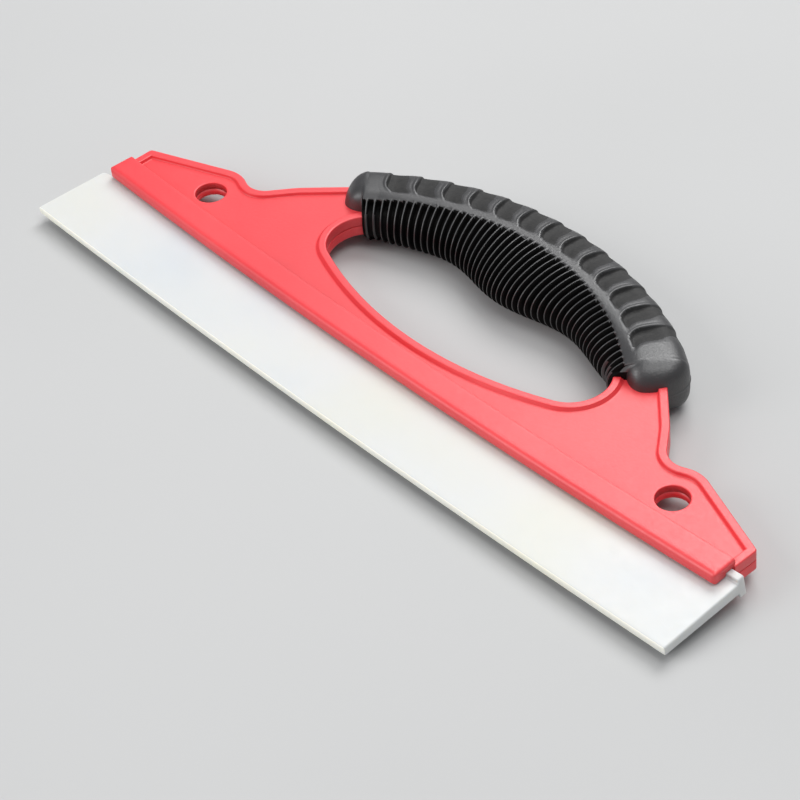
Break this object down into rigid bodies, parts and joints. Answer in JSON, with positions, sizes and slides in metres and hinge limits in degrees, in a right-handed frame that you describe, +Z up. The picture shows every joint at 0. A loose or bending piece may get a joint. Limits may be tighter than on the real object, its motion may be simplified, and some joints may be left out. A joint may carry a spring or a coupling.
{
  "type": "squeegee applicator",
  "caption": "Hand squeegee with a long flexible blade held in a bowed channel, a flat frame with a hand hole, and an arched soft grip.",
  "frame": {"origin": "on the table, below the centre of the resting tool's box", "axes": "+X along the blade, +Y from the blade towards the handle, +Z up from the table, nearly square to the tool's plane"},
  "size_m": [0.3086, 0.1178, 0.0216],
  "materials": {
    "red_moulding": "satin moulding",
    "black_rubber": "soft matte rubber",
    "milky_silicone": "satin milky silicone"
  },
  "bodies": {
    "frame": {"frame_upper": "red_moulding", "frame_lower": "red_moulding", "grip": "black_rubber"},
    "blade": {"blade_head": "milky_silicone"},
    "blade_lip": {"blade_lip": "milky_silicone"}
  },
  "joints": [
    {"name": "blade_slide", "type": "hinge", "parent": "frame", "child": "blade", "pos_m": [0, 3.00519, 0.20335], "axis": [0, -0.0646, 0.9979], "range_deg": [-5.5, 5.5]},
    {"name": "lip_bend", "type": "hinge", "parent": "blade", "child": "blade_lip", "pos_m": [0, -0.03215, 0.00658], "axis": [1, 0, 0], "range_deg": [-20, 20], "stiffness_Nm_per_rad": 0.45}
  ]
}
